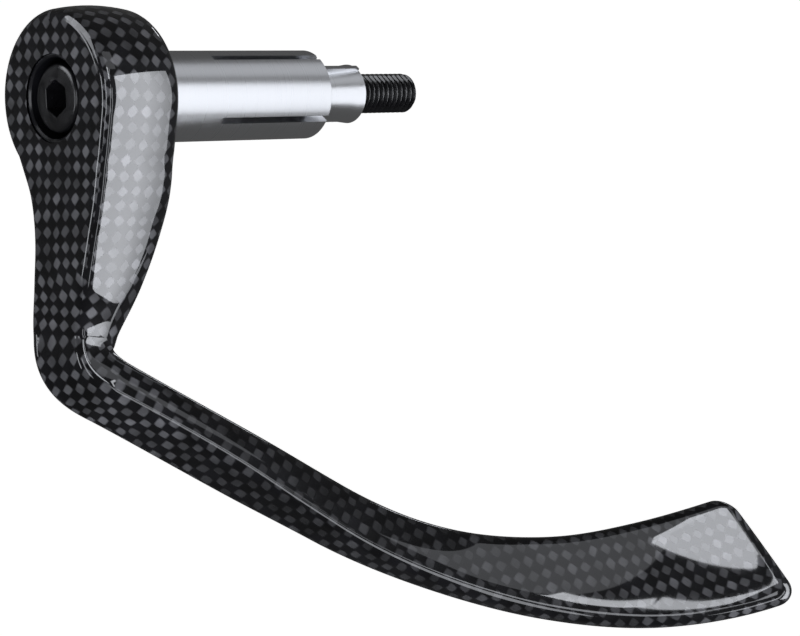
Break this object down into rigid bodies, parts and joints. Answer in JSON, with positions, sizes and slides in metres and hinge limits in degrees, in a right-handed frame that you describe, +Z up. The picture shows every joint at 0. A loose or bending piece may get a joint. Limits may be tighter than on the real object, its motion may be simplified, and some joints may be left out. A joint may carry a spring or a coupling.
{
  "type": "brake lever guard",
  "caption": "Bar-end guard for a motorbike brake lever: moulded fibre arm with a flared blade, held by a cap screw, split expander sleeve and taper nut.",
  "frame": {"origin": "on the clamp screw's axis, at the inner face of the head, where the end of the handlebar seats", "axes": "+X along the sleeve towards the middle of the handlebar, +Z up, away from the shank that hangs from the head"},
  "size_m": [0.1269, 0.0844, 0.125],
  "materials": {
    "lacquered_carbon": "plain-weave carbon fibre under clear gloss lacquer",
    "black_anodised": "satin black anodised",
    "black_oxide_washer": "black oxide",
    "black_oxide_steel": "black oxide",
    "turned_aluminium": "fine turned satin",
    "turned_aluminium_nut": "fine turned satin"
  },
  "bodies": {
    "guard": {"guard_arm": "lacquered_carbon", "head_bush": "black_anodised", "expander_sleeve": "turned_aluminium"},
    "bolt": {"clamp_bolt": "black_oxide_steel", "bolt_washer": "black_oxide_washer"},
    "nut": {"cone_nut": "turned_aluminium_nut"}
  },
  "joints": [
    {"name": "bolt_turn", "type": "hinge", "parent": "guard", "child": "bolt", "pos_m": [0, 0, 0], "axis": [1, 0, 0], "range_deg": [-288, 1440]},
    {"name": "nut_slide", "type": "slide", "parent": "guard", "child": "nut", "axis": [1, 0, 0], "range_m": [-0.005, 0.001]}
  ],
  "couplings": [
    {"joint": "nut_slide", "follows": "bolt_turn", "m_per_rad": -0.00019894}
  ]
}
